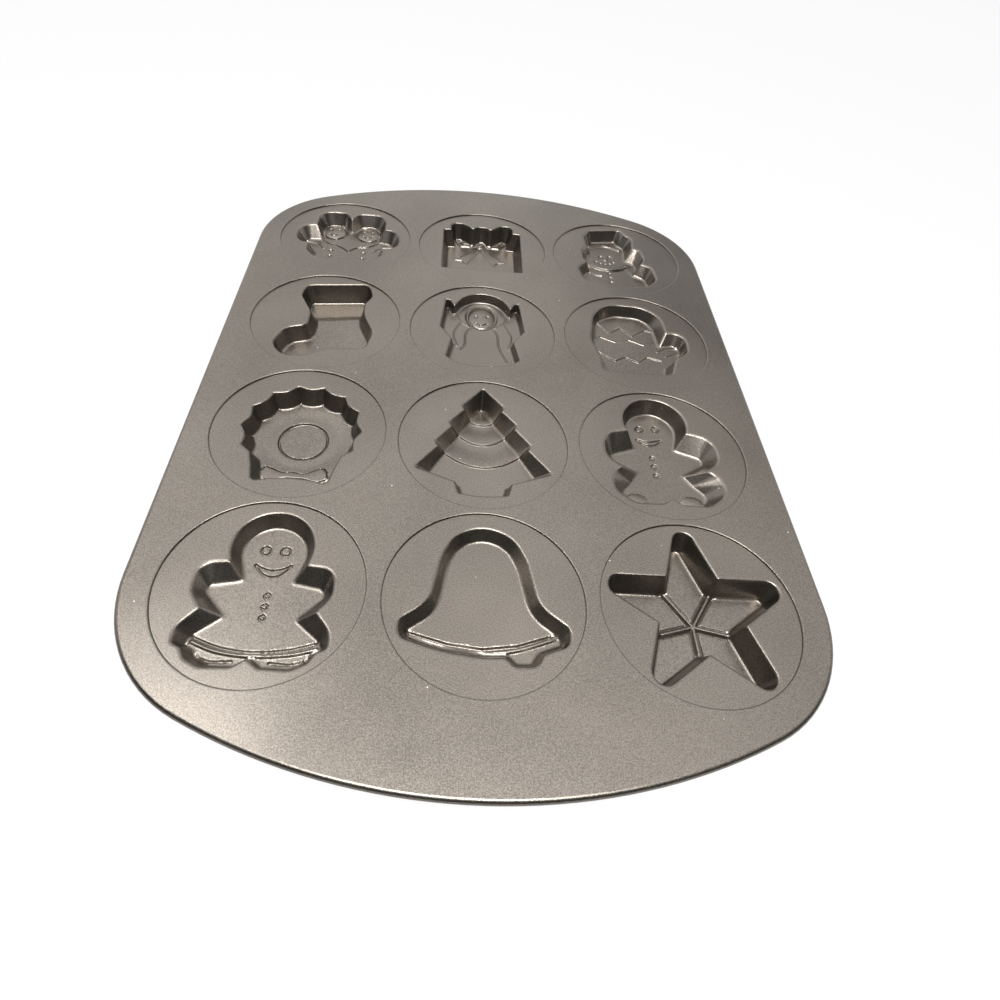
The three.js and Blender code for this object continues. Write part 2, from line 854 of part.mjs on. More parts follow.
// Cups by column from the left and row from the far end
addCup('cup_couple', simpleCup('couple', coupleOutline(), coupleFloor()), 0, 0);
addCup('cup_gift', simpleCup('gift', giftOutline()), 1, 0);
addCup('cup_snowman', simpleCup('snowman', snowmanOutline(), snowmanFloor()), 2, 0);
addCup('cup_stocking', stockingCup(), 0, 1);
addCup('cup_angel', simpleCup('angel', angelOutline()), 1, 1);
addCup('cup_mitten', simpleCup('mitten', mittenOutline(), mittenFloor()), 2, 1);
addCup('cup_wreath', wreathCup(), 0, 2);
addCup('cup_tree', treeCup(), 1, 2);
addCup('cup_gingerbread_man', simpleCup('man', manOutline(), manFloor()), 2, 2);
addCup('cup_gingerbread_girl', simpleCup('girl', girlOutline(), girlFloor()), 0, 3);
addCup('cup_bell', bellCup(), 1, 3);
addCup('cup_star', starCup(), 2, 3);

export default pan;
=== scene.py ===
import math

import bpy
import numpy as np
from mathutils import Matrix, Vector
from mathutils.geometry import delaunay_2d_cdt


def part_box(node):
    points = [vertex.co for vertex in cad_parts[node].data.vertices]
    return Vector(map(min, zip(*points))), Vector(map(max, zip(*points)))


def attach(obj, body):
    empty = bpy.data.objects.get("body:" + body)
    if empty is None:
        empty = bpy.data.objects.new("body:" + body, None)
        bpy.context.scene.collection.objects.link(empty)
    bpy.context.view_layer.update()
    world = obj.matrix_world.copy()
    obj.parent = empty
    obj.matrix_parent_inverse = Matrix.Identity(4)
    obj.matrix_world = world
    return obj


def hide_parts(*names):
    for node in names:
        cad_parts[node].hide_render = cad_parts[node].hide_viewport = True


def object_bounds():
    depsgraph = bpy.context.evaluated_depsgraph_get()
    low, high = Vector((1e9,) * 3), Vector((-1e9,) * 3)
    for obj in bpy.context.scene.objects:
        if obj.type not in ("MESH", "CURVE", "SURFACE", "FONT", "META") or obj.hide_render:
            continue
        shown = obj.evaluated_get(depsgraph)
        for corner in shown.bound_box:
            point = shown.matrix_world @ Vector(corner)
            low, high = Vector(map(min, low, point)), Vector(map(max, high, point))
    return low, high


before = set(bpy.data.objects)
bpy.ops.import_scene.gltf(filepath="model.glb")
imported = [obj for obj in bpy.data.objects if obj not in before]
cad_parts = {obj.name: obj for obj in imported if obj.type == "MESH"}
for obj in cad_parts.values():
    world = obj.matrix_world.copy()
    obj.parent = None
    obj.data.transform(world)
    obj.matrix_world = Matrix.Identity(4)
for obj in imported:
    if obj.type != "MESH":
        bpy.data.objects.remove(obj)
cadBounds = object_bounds()
mm = 0.001

print("pan: frame loaded")

# Sheet, pads and the sampling of the figures, in millimetres and degrees
sheet = {
    "thickness": 0.5,
    "padRadius": 40.0,
    "padPoints": 192,
    "padStep": 0.85,      # from the deck down to a pad
    "padDrop": 0.35,      # a shown pad lies this much under the solid's
    "stepRound": 0.7,
    "fullDepth": 11.8,
    "clearance": 0.02,    # kept between the deepest floors and the table
    "mouthRound": 1.1,
    "footRound": 1.3,
    "support": 0.3,       # flat band that keeps each rounding crisp
    "smoothAngle": 50.0,
    "arcStep": 7.0,       # turn between two points of a rounded corner
    "edgeStep": 0.9,
    "fineStep": 0.22,     # floor grid where a pressed detail slopes
    "coarseEvery": 4,     # only one grid point in so many stays on the flats
    "fineSlope": 0.12,
}

# How much of the edges beside it a corner's rounding may take
corners = {
    "smallest": 0.25,
    "tight": 0.05,        # corners up to this share stay crisp
    "tightReach": 0.18,
    "reach": 0.48,
    "besideTight": 0.8,
}


# Figures are lists of corners (x, y, radius) in shares of the pad's radius
def arc(x, y, radius, fromDegrees, toDegrees):
    steps = math.ceil((toDegrees - fromDegrees) / sheet["arcStep"])
    points = []
    for i in range(steps + 1):
        angle = math.radians(fromDegrees + (toDegrees - fromDegrees) * i / steps)
        points.append((x + radius * math.cos(angle), y + radius * math.sin(angle), 0))
    return points


def mirrored(half):
    left = [(-x, y, r) for x, y, r in half if abs(x) > 1e-6]
    return half + left[::-1]


def movedAcross(points, shift):
    return [(x + shift, y, r) for x, y, r in points]


starShape = {"arms": 5, "tip": (1.205, 0.122), "notch": (0.46, 0.02), "shift": -0.02}


def starOutline():
    points = []
    for i in range(starShape["arms"]):
        tip = math.radians(90 + i * 360 / starShape["arms"])
        notch = tip + math.radians(180 / starShape["arms"])
        for angle, (reach, radius) in ((tip, starShape["tip"]), (notch, starShape["notch"])):
            y = reach * math.sin(angle) + starShape["shift"]
            points.append((reach * math.cos(angle), y, radius))
    return points


def bellOutline():
    return [
        (0.82, -0.46, 0.12), (0.835, -0.285, 0.12), (0.545, -0.06, 0.35), (0.445, 0.45, 0.6),
        (0.315, 0.73, 0.4), (0, 0.855, 0.4), (-0.315, 0.73, 0.4), (-0.445, 0.45, 0.6),
        (-0.54, -0.06, 0.35), (-0.83, -0.27, 0.12), (-0.815, -0.44, 0.12), (-0.42, -0.565, 1.5),
        (0, -0.62, 1.5), (0.2, -0.605, 0.08), (0.28, -0.69, 0.13), (0.5, -0.68, 0.13),
        (0.57, -0.555, 0.08),
    ]


def girlOutline():
    return movedAcross(mirrored([
        (0, -0.715, 0.03), (0.12, -0.8, 0.06), (0.4, -0.81, 0.2), (0.545, -0.735, 0.08),
        (0.6, -0.635, 0.04),
        (0.7, -0.59, 0.06), (0.7, -0.44, 0.3), (0.545, -0.235, 0.02), (0.675, -0.055, 0.24),
        (0.66, 0.25, 0.24), (0.385, 0.27, 0.02),
    ] + arc(0, 0.465, 0.41, -18, 90)), 0.02)


def girlFloor():
    return movedAcross(mirrored([
        (0, -0.66, 0.03), (0.11, -0.74, 0.05), (0.37, -0.745, 0.16), (0.49, -0.685, 0.06),
        (0.535, -0.605, 0.04),
        (0.62, -0.55, 0.05), (0.59, -0.45, 0.1), (0.335, -0.25, 0.03), (0.575, -0.01, 0.07),
        (0.555, 0.08, 0.07), (0.24, 0.145, 0.03),
    ] + arc(0, 0.465, 0.33, -18, 90)), 0.02)


def manOutline():
    return mirrored([
        (0, -0.7, 0.03), (0.11, -0.78, 0.06), (0.43, -0.79, 0.2), (0.67, -0.6, 0.26),
        (0.64, -0.34, 0.2),
        (0.51, -0.27, 0.02), (0.695, -0.1, 0.26), (0.68, 0.27, 0.27), (0.37, 0.34, 0.02),
    ] + arc(0, 0.5, 0.4, -16, 90))


def manFloor():
    return mirrored([
        (0, -0.64, 0.03), (0.1, -0.71, 0.05), (0.38, -0.71, 0.17), (0.54, -0.53, 0.14),
        (0.36, -0.34, 0.1),
        (0.27, -0.2, 0.03), (0.575, -0.02, 0.1), (0.56, 0.08, 0.12), (0.25, 0.2, 0.03),
    ] + arc(0, 0.5, 0.325, -16, 90))


def treeOutline():
    return mirrored([
        (0, -0.83, 1), (0.28, -0.8, 0.05), (0.325, -0.632, 0.02), (0.8, -0.458, 0.03),
        (0.535, -0.12, 0.015), (0.57, -0.03, 0.025), (0.38, 0.2125, 0.015), (0.41, 0.295, 0.025),
        (0.23, 0.51, 0.015), (0.26, 0.585, 0.025), (0, 0.9, 0.02),
    ])


def treeFloor():
    return mirrored([
        (0, -0.76, 1), (0.23, -0.74, 0.04), (0.27, -0.58, 0.03), (0.62, -0.4, 0.03),
        (0.465, -0.1, 1),
        (0.435, -0.05, 1), (0.305, 0.21, 1), (0.275, 0.26, 1), (0.17, 0.47, 1), (0.145, 0.51, 1),
        (0, 0.79, 0.03),
    ])


wreathShape = {"scallops": 14, "perScallop": 10, "peak": 0.7, "sag": 0.06, "rise": 0.035}


def wreathOutline():
    half = [
        (0, -0.72, 0.2), (0.2, -0.735, 0.15), (0.41, -0.785, 0.06), (0.46, -0.55, 0.3),
        (0.51, -0.37, 0.03),
    ]
    scallop, perScallop = 360 / wreathShape["scallops"], wreathShape["perScallop"]
    steps = round((90 + scallop) / scallop * perScallop)
    for i in range(steps + 1):
        turn = i / perScallop
        angle = math.radians(-scallop + turn * scallop)
        reach = wreathShape["peak"] - wreathShape["sag"] * abs(math.sin(math.pi * turn))
        half.append((reach * math.cos(angle), wreathShape["rise"] + reach * math.sin(angle), 0))
    return movedAcross(mirrored(half), 0.02)


def stockingOutline():
    return [
        (0.585, -0.56, 0.12), (0.66, -0.2, 0.35), (0.495, 0.17, 0.5), (0.485, 0.42, 0.08),
        (0.575, 0.6, 0.2), (0.5, 0.875, 0.14), (-0.4, 0.755, 0.13), (-0.425, 0.52, 0.16),
        (-0.235, 0.15, 0.35), (-0.24, -0.14, 0.12), (-0.52, -0.23, 0.25), (-0.65, -0.55, 0.24),
        (-0.46, -0.79, 0.22), (-0.14, -0.76, 0.25), (0.06, -0.6, 0.35),
    ]


def angelOutline():
    return mirrored([
        (0, -0.755, 0.8), (0.36, -0.7, 0.06), (0.495, -0.58, 0.05), (0.425, -0.2, 0.02),
        (0.59, 0.04, 0.07), (0.53, 0.665, 0.02), (0.47, 0.65, 0.02), (0.405, 0.53, 0.02),
    ] + arc(0, 0.445, 0.4, 28, 90))


def mittenOutline():
    return [
        (0.41, -0.66, 0.08), (0.51, -0.37, 0.1), (0.745, -0.14, 0.2), (0.76, 0.24, 0.26),
        (0.485, 0.245, 0.03), (0.47, 0.8, 0.4), (-0.49, 0.835, 0.45), (-0.63, 0, 0.35),
        (-0.525, -0.38, 0.12), (-0.53, -0.665, 0.07),
    ]


def mittenFloor():
    return [
        (0.35, -0.6, 0.06), (0.43, -0.36, 0.06), (0.67, -0.13, 0.1), (0.7, 0.14, 0.1),
        (0.41, 0.1, 0.03),
        (0.36, 0.73, 0.33), (-0.44, 0.77, 0.38), (-0.56, 0, 0.3), (-0.46, -0.36, 0.1),
        (-0.465, -0.6, 0.05),
    ]


def coupleOutline():
    return [
        (0.44, -0.585, 0.22), (0.62, -0.38, 0.18), (0.58, -0.225, 0.03), (0.84, -0.2, 0.25),
        (0.83, 0.28, 0.26), (0.585, 0.34, 0.03), (0.575, 0.76, 0.3), (0.12, 0.75, 0.18),
        (0.02, 0.57, 0.02),
        (-0.07, 0.75, 0.17), (-0.5, 0.75, 0.3), (-0.51, 0.34, 0.03), (-0.77, 0.3, 0.26),
        (-0.775, -0.17, 0.24), (-0.56, -0.2, 0.03), (-0.57, -0.4, 0.18), (-0.41, -0.59, 0.22),
    ]


def coupleFloor():
    return [
        (0.4, -0.51, 0.15), (0.53, -0.36, 0.1), (0.48, -0.24, 0.03), (0.72, -0.14, 0.08),
        (0.71, 0.18, 0.1), (0.48, 0.22, 0.03), (0.475, 0.65, 0.24), (0.15, 0.65, 0.14),
        (0.02, 0.45, 0.02), (-0.1, 0.65, 0.14), (-0.42, 0.65, 0.24), (-0.43, 0.2, 0.03),
        (-0.66, 0.18, 0.1), (-0.665, -0.1, 0.08), (-0.46, -0.2, 0.03), (-0.48, -0.36, 0.1),
        (-0.37, -0.51, 0.15),
    ]


def giftOutline():
    return mirrored([
        (0.625, -0.6, 0.03), (0.625, 0.5, 0.05), (0.505, 0.51, 0.02), (0.51, 0.715, 0.13),
        (0.31, 0.72, 0.16), (0.15, 0.57, 0.13), (0.06, 0.64, 0.12),
    ])


def snowmanOutline():
    return [
        (0.4, -0.73, 0.2), (0.595, -0.52, 0.22), (0.56, -0.14, 0.22), (0.4, -0.1, 0.02),
        (0.485, 0.05, 0.2), (0.44, 0.32, 0.2), (0.325, 0.34, 0.06), (0.365, 0.66, 0.18),
        (0.25, 0.77, 0.1), (0.195, 0.905, 0.16), (-0.36, 0.8, 0.13), (-0.395, 0.7, 0.06),
        (-0.455, 0.64, 0.06), (-0.43, 0.36, 0.06), (-0.52, 0.2, 0.2), (-0.525, -0.02, 0.18),
        (-0.48, -0.14, 0.02), (-0.635, -0.3, 0.18), (-0.585, -0.63, 0.2), (-0.15, -0.8, 0.35),
    ]


def snowmanFloor():
    return [
        (0.34, -0.64, 0.15), (0.53, -0.48, 0.12), (0.49, -0.27, 0.12), (0.32, -0.17, 0.03),
        (0.405, 0, 0.1),
        (0.375, 0.16, 0.07), (0.24, 0.24, 0.03), (0.26, 0.6, 0.05), (0.17, 0.69, 0.03),
        (0.12, 0.81, 0.05),
        (-0.28, 0.75, 0.05), (-0.31, 0.64, 0.03), (-0.37, 0.59, 0.03), (-0.345, 0.37, 0.03),
        (-0.43, 0.19, 0.1), (-0.435, 0, 0.08), (-0.4, -0.14, 0.02), (-0.55, -0.3, 0.13),
        (-0.5, -0.57, 0.15), (-0.13, -0.71, 0.3),
    ]


# Each corner's place in millimetres, the ways into it and out of it, and its turn
def cornerTurns(shares):
    pts = np.array([(x, y) for x, y, r in shares]) * sheet["padRadius"]
    into = pts - np.roll(pts, 1, axis=0)
    into /= np.linalg.norm(into, axis=1)[:, None]
    out = np.roll(into, -1, axis=0)
    cross = into[:, 0] * out[:, 1] - into[:, 1] * out[:, 0]
    return pts, into, out, np.arctan2(cross, (into * out).sum(1))


# A figure's outline moved inwards, its corners rounded: a floor gets as many points as its mouth
def figureLoop(shares, inset, mouth=None):
    pts, into, out, turn = cornerTurns(shares)
    mouthTurn = cornerTurns(mouth or shares)[3]
    arcSteps = [max(2, math.ceil(abs(t) / math.radians(sheet["arcStep"]))) for t in mouthTurn]
    dot = (into * out).sum(1)
    normal = np.stack([-into[:, 1] - out[:, 1], into[:, 0] + out[:, 0]], 1)
    moved = pts + normal * (inset / (1 + dot))[:, None]
    toNext = np.linalg.norm(np.roll(moved, -1, axis=0) - moved, axis=1)
    toBefore = np.roll(toNext, 1)
    tight = np.array([share <= corners["tight"] for x, y, share in shares])
    beside = np.where(tight, corners["besideTight"], corners["reach"])
    reach = np.minimum(toNext * np.roll(beside, -1), toBefore * np.roll(beside, 1))
    reach = np.where(tight, np.minimum(toNext, toBefore) * corners["tightReach"], reach)
    loop = []
    for i, (x, y, share) in enumerate(shares):
        if share <= 0:
            loop.append(moved[i])
            continue
        half = abs(turn[i]) / 2
        side = 1 if turn[i] > 0 else -1
        radius = max(share * sheet["padRadius"] - side * inset, corners["smallest"])
        tangent = min(radius * math.tan(half), reach[i])
        radius = tangent / math.tan(half)
        start = moved[i] - into[i] * tangent
        centre = start + np.array([-into[i][1], into[i][0]]) * side * radius
        d = start - centre
        for k in range(arcSteps[i] + 1):
            a = turn[i] * k / arcSteps[i]
            c, s = math.cos(a), math.sin(a)
            loop.append(centre + np.array([d[0] * c - d[1] * s, d[0] * s + d[1] * c]))
    return np.array(loop)


# Points are added on long stretches, the same ones at every inset
def fineLoop(shares, inset, counts, mouth=None):
    loop = figureLoop(shares, inset, mouth)
    after = np.roll(loop, -1, axis=0)
    points = []
    for a, b, n in zip(loop, after, counts):
        for k in range(n):
            points.append(a + (b - a) * k / n)
    return np.array(points)


# How many points each stretch of a mouth needs
def stretchCounts(shares):
    loop = figureLoop(shares, 0)
    lengths = np.linalg.norm(np.roll(loop, -1, axis=0) - loop, axis=1)
    return [max(1, math.ceil(v / sheet["edgeStep"])) for v in lengths]


def smooth(t):
    t = np.clip(t, 0, 1)
    return t * t * (3 - 2 * t)


# A smooth curve through the points
def curveThrough(points, closed=False, steps=8):
    p = [np.array(q, float) for q in points]
    if len(p) < 3:
        return np.array(p)
    n = len(p)
    result = []
    for i in range(n if closed else n - 1):
        a = p[(i - 1) % n] if closed or i > 0 else 2 * p[0] - p[1]
        b, c = p[i], p[(i + 1) % n]
        d = p[(i + 2) % n] if closed or i + 2 < n else 2 * c - b
        for k in range(steps):
            t = k / steps
            result.append(0.5 * (2 * b + (c - a) * t + (2 * a - 5 * b + 4 * c - d) * t ** 2
                                 + (3 * b - a - 3 * c + d) * t ** 3))
    if not closed:
        result.append(p[-1])
    return np.array(result)


def lineDistance(xy, points, closed=False):
    pts = np.asarray(points, float)
    ends = np.roll(pts, -1, axis=0) if closed else pts[1:]
    best = np.full(len(xy), 1e9)
    for a, b in zip(pts, ends):
        d = b - a
        t = np.clip(((xy - a) @ d) / max(d @ d, 1e-12), 0, 1)
        best = np.minimum(best, np.hypot(*(xy - a - t[:, None] * d).T))
    return best


def insideOf(xy, points):
    x, y = xy.T
    inside = np.zeros(len(xy), bool)
    pts = np.asarray(points, float)
    for (x1, y1), (x2, y2) in zip(pts, np.roll(pts, -1, axis=0)):
        crosses = (y1 > y) != (y2 > y)
        inside ^= crosses & (x < (x2 - x1) * (y - y1) / (y2 - y1 + 1e-12) + x1)
    return inside


# Details pressed in the floors: lines taper off at their sides, and a bead has a groove beside it
pressed = {"crest": 1.4, "grooveDepth": 0.6}


def pathDistance(xy, form, paths):
    away = np.full(len(xy), 1e9)
    for path in paths:
        points = path if form == "zigzag" else curveThrough(path, closed=form == "loop")
        away = np.minimum(away, lineDistance(xy, points, closed=form == "loop"))
    return away


def stroke(away, halfWidth):
    return smooth(pressed["crest"] * (1 - away / halfWidth))


# Every press is (form, place, sizes, depth): over zero goes deeper, under zero stands up
def pressDepth(xy, presses):
    depth = np.zeros(len(xy))
    for form, place, sizes, amount in presses:
        if form in ("line", "zigzag", "loop"):
            depth += amount * stroke(pathDistance(xy, form, place), sizes / 2)
        elif form == "bead":
            half, groove = sizes
            away = pathDistance(xy, form, place)
            beside = stroke(abs(away - half - groove / 2), groove / 2)
            depth += amount * stroke(away, half) - pressed["grooveDepth"] * amount * beside
        elif form == "rings":
            for x, y, radius in place:
                away = abs(np.hypot(xy[:, 0] - x, xy[:, 1] - y) - radius)
                depth += amount * stroke(away, sizes / 2)
        elif form == "discs":
            for x, y, rx, ry in place:
                reach = np.hypot((xy[:, 0] - x) / rx, (xy[:, 1] - y) / ry)
                depth += amount * smooth((1 - reach) * min(rx, ry) / sizes + 0.5)
        elif form == "domes":
            for x, y, rx, ry in place:
                reach = np.hypot((xy[:, 0] - x) / rx, (xy[:, 1] - y) / ry)
                depth += amount * np.sqrt(np.clip(1 - reach ** 2, 0, 1))
        elif form == "areas":
            for outline in place:
                away = lineDistance(xy, outline, closed=True)
                away = np.where(insideOf(xy, outline), -away, away)
                depth += amount * smooth(0.5 - away / sizes)
    return depth


def newPiece(name, points, faces):
    mesh = bpy.data.meshes.new(name)
    mesh.from_pydata([tuple(p) for p in points], [], [tuple(f) for f in faces])
    piece = bpy.data.objects.new(name, mesh)
    bpy.context.scene.collection.objects.link(piece)
    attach(piece, "root")
    return piece


def onlyThis(piece):
    bpy.ops.object.select_all(action="DESELECT")
    piece.select_set(True)
    bpy.context.view_layer.objects.active = piece


# Doubles are merged, and the sheet gets its thickness downwards
def thicken(piece, thickness):
    onlyThis(piece)
    bpy.ops.object.mode_set(mode="EDIT")
    bpy.ops.mesh.select_all(action="SELECT")
    bpy.ops.mesh.remove_doubles(threshold=0.00001)
    bpy.ops.object.mode_set(mode="OBJECT")
    solid = piece.modifiers.new("thickness", "SOLIDIFY")
    solid.thickness = thickness * mm
    solid.offset = -1
    bpy.ops.object.modifier_apply(modifier=solid.name)
    bpy.ops.object.shade_smooth_by_angle(angle=math.radians(sheet["smoothAngle"]))


# Triangles between closed loops and loose points
def triangulate(loops, extra=()):
    edges = []
    verts = []
    for loop in loops:
        first = len(verts)
        verts += [Vector(p[:2]) for p in loop]
        edges += [(first + i, first + (i + 1) % len(loop)) for i in range(len(loop))]
    verts += [Vector(p) for p in extra]
    return delaunay_2d_cdt(verts, edges, [], 1, 1e-5)


# Only the triangles inside the outer loop and outside the holes are kept, all facing up
def keepInside(result, outer, holes=()):
    verts, faces = result[0], result[2]
    xy = np.array([(v.x, v.y) for v in verts])
    tris = [f for f in faces if len(f) == 3]
    centres = np.array([xy[list(f)].mean(0) for f in tris])
    keep = insideOf(centres, outer)
    for hole in holes:
        keep &= ~insideOf(centres, hole)
    faces = []
    for f, k in zip(tris, keep):
        if not k:
            continue
        a, b, c = xy[list(f)]
        area = (b[0] - a[0]) * (c[1] - a[1]) - (b[1] - a[1]) * (c[0] - a[0])
        faces.append(f if area > 0 else f[::-1])
    return xy, faces


# Levels of a rounding, which leaves start and reaches end along the lines to bend
def rounding(start, bend, end, steps=6):
    t = np.linspace(0, 1, steps + 1).reshape(-1, *[1] * np.ndim(start))
    start, bend, end = np.array(start), np.array(bend), np.array(end)
    return (1 - t) ** 2 * start + 2 * t * (1 - t) * bend + t ** 2 * end


def atHeight(loop, z):
    return np.column_stack([loop, np.broadcast_to(z, len(loop))])


def padCentre(node):
    low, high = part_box(node)
    return (low[0] + high[0]) / 2 / mm, (low[1] + high[1]) / 2 / mm


def circlePoints(radius):
    angles = np.linspace(0, 2 * math.pi, sheet["padPoints"], endpoint=False)
    return [(radius * math.cos(a), radius * math.sin(a)) for a in angles]


def makeCup(node, settings):
    shares = settings["outline"]
    floor = settings.get("floor")
    presses = settings["presses"]
    base = sheet["fullDepth"] * settings["depth"] - sheet["padDrop"]
    mouth, foot = sheet["mouthRound"], sheet["footRound"]
    cx, cy = padCentre(node)
    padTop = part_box(node)[1][2] / mm - sheet["padDrop"]
    deepest = padTop - cadBounds[0][2] / mm - sheet["thickness"] - sheet["clearance"]
    counts = stretchCounts(shares)

    def floorDepth(xy):
        return np.minimum(base + pressDepth(xy, presses), deepest)

    def floorAt(inset):
        if floor:
            return fineLoop(floor, inset, counts, shares)
        return fineLoop(shares, settings["draft"] * base + inset, counts)

    # The wall is straight from the mouth to the floor, and rounded into both
    outer = atHeight(fineLoop(shares, -mouth, counts), 0)
    edge = atHeight(fineLoop(shares, 0, counts), 0)
    foundation = atHeight(floorAt(0), -floorDepth(floorAt(0)))
    floorLoop = floorAt(foot)
    inner = atHeight(floorLoop, -floorDepth(floorLoop))
    slope = (foundation - edge) / np.linalg.norm(foundation - edge, axis=1)[:, None]
    levels = [atHeight(fineLoop(shares, -mouth - sheet["support"], counts), 0)]
    levels += list(rounding(outer, edge, edge + slope * mouth))
    levels += list(rounding(foundation - slope * foot, foundation, inner))
    points = [tuple(p) for level in levels for p in level]
    count = len(edge)
    faces = []
    for k in range(1, len(levels)):
        for i in range(count):
            j = (i + 1) % count
            a, b = (k - 1) * count, k * count
            faces.append((a + i, a + j, b + j, b + i))

    # The flat pad round the mouth
    ring = circlePoints(sheet["padRadius"])
    hole = levels[0][:, :2]
    xy, flat = keepInside(triangulate([ring, hole]), ring, [hole])
    first = len(points)
    points += [(x, y, 0) for x, y in xy]
    faces += [tuple(first + v for v in f) for f in flat]

    # The floor, finely divided wherever a pressed detail slopes
    step, every = sheet["fineStep"], sheet["coarseEvery"]
    lowXY, highXY = floorLoop.min(0), floorLoop.max(0)
    gridX, gridY = (np.arange(lowXY[k], highXY[k], step) for k in (0, 1))
    gx, gy = np.meshgrid(gridX, gridY)
    grid = np.stack([gx.ravel(), gy.ravel()], 1)
    across, along = np.gradient(pressDepth(grid, presses).reshape(gx.shape), step)
    wanted = np.hypot(across, along) > sheet["fineSlope"]
    wanted[::every, ::every] = True
    grid = grid[wanted.ravel()]
    grid = grid[insideOf(grid, floorLoop)]
    grid = grid[lineDistance(grid, floorLoop, closed=True) > step]
    xy, fine = keepInside(triangulate([floorLoop], grid), floorLoop)
    z = -floorDepth(xy)
    first = len(points)
    points += [(x, y, v) for (x, y), v in zip(xy, z)]
    faces += [tuple(first + v for v in f) for f in fine]

    placed = [((x + cx) * mm, (y + cy) * mm, (z + padTop) * mm) for x, y, z in points]
    piece = newPiece("look_" + node, placed, faces)
    thicken(piece, sheet["thickness"])
    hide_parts(node)
    return piece


# Depths are shares of fullDepth, presses are in millimetres from the pad's middle
valleyEnds = [(-9.9, 12), (11.8, 13.4), (-16.6, -8), (18.9, -7.3), (0.4, -19.2)]
star = {"outline": starOutline(), "depth": 0.95, "draft": 0.27, "presses": [
    ("bead", [[(0.3, -3.3), end] for end in valleyEnds], (1.1, 0.9), -1.0)]}

farOut = 44    # past every figure, to close an area outside it
bellEdge = [(25.3, -12.6), (13, -16.8), (-0.4, -18.6), (-13.8, -17.1), (-28.2, -13.2)]
bell = {"outline": bellOutline(), "depth": 0.5, "draft": 0.6, "presses": [
    ("areas", [[(-farOut, -farOut), (farOut, -farOut), (farOut, -10.4)] + bellEdge
               + [(-farOut, -10.4)]], 0.8, 1.06),
    ("line", [[(27.5, -13.4), (13, -18.4), (-0.4, -20.3), (-13.8, -18.8),
               (-29.5, -14.4)]], 2.0, -1.0)]}

girl = {"outline": girlOutline(), "floor": girlFloor(), "depth": 0.6, "presses": [
    ("rings", [(-3.3, 20.4, 1.9), (4.7, 20.4, 1.9)], 1.1, 0.85),
    ("loop", [[(-6.2, 13.6), (-3, 9.8), (1, 8.3), (5, 9.8), (8.3, 13.9), (5.4, 12.3), (1, 11.2),
               (-3.4, 12.2)]], 1.1, 0.9),
    ("rings", [(1.3, -0.1, 1.1), (1.3, -4.9, 1.1), (1.3, -9.6, 1.1)], 1.0, 0.75),
    ("line", [[(-21.6, -18.9), (-11.3, -22.3), (1, -23.5), (13.4, -22.1), (23, -19.3)]], 1.2, 0.8),
    ("line", [[(-22.4, -20.6), (-11.9, -24.1), (1, -25.3), (14.5, -24.1), (24, -21.6)]], 1.8, -1.0),
    ("line", [[(-22, -24.8), (-15, -27.6), (-6, -27.4)],
              [(7.5, -27.4), (16, -27.6), (23.5, -24.8)]], 1.3, 0.9)]}

man = {"outline": manOutline(), "floor": manFloor(), "depth": 0.72, "presses": [
    ("rings", [(-5.3, 21.9, 1.8), (3.0, 22.4, 1.8)], 1.2, 0.8),
    ("loop", [[(-7.9, 14.7), (-5, 12.1), (-1.6, 11), (2.2, 12.3), (5.1, 15.1), (1.6, 14.2),
               (-1.6, 13.5), (-4.6, 14)]], 1.2, 0.8),
    ("discs", [(-1.7, 2.8, 1.3, 1.3), (-1.7, -2.6, 1.3, 1.3), (-1.7, -8.3, 1.3, 1.3)], 0.8, 0.7),
    ("domes", [(-14, -24, 5, 3.4), (12.5, -24, 5, 3.4)], None, -0.8)]}

# Half width, height and sag of each tier's lower edge: the floor slopes up to it and steps down
treeTiers = ((18.2, -3.3, 7.7), (11.4, 9.5, 5.4), (6.4, 20.7, 2.2))
tierSide = {"across": 0.55, "sag": 0.7}    # the bow's points between its ends and its middle


def tierArea(x, y, sag):
    sideX, sideY = x * tierSide["across"], y - tierSide["sag"] * sag
    bow = curveThrough([(-x, y), (-sideX, sideY), (0, y - sag), (sideX, sideY), (x, y)])
    above = [(farOut, y), (farOut, farOut), (-farOut, farOut)]
    return [(-farOut, y)] + [tuple(p) for p in bow] + above


tree = {"outline": treeOutline(), "floor": treeFloor(), "depth": 0.67, "presses": [
    ("areas", [tierArea(x, y + 7, sag) for x, y, sag in treeTiers], 13, 1.9),
    ("areas", [tierArea(x, y, sag) for x, y, sag in treeTiers], 0.6, -0.8)]}

bowTop = [(-15.1, -17.7), (-12.5, -16.5), (-5.2, -19.3), (-1.0, -18.6), (4.3, -19.3), (11.6, -15.6),
          (14.2, -17.7)]
bowFoot = [(15.5, -22), (11, -24.5), (4, -22.8), (-3, -22.6), (-11, -24.8), (-16.5, -22)]
wreath = {"outline": wreathOutline(), "depth": 0.8, "draft": 0.3, "presses": [
    ("discs", [(0.4, 1, 20, 20)], 9, 0.9), ("discs", [(0.4, 1.4, 11.2, 11.2)], 1.0, 0.3),
    ("rings", [(0.4, 1.4, 11.4)], 1.4, 1.0),
    ("areas", [bowTop + bowFoot], 1.0, -1.0), ("line", [bowTop], 1.6, 1.1)]}

stocking = {"outline": stockingOutline(), "depth": 0.78, "draft": 0.34, "presses": [
    ("areas", [[(-farOut, 5.6), (farOut, 21.2), (farOut, farOut), (-farOut, farOut)]], 8, 2.4)]}

